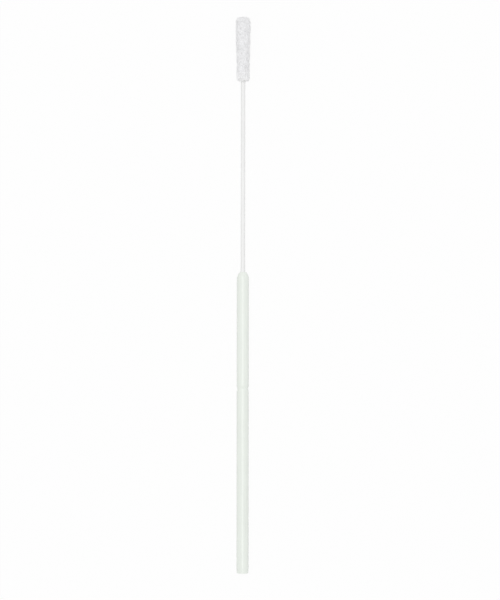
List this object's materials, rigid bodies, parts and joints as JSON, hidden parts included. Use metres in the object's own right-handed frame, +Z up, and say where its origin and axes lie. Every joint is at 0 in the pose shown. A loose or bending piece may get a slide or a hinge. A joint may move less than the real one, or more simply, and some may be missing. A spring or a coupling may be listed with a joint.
{
  "type": "specimen swab",
  "caption": "Straight specimen swab: round handle with a snap groove, blunt shoulder, thin flexible shaft and a soft flocked tip.",
  "frame": {"origin": "on the surface that the swab lies on, under its axis and halfway along it", "axes": "+Y along the swab from its handle to its tip, +Z up, X across"},
  "size_m": [0.0042, 0.15, 0.0042],
  "materials": {
    "moulded_plastic": "satin",
    "nylon_flock": "matte"
  },
  "bodies": {
    "root": {"moulded_stick": "moulded_plastic", "flocked_tip": "nylon_flock"}
  },
  "joints": []
}
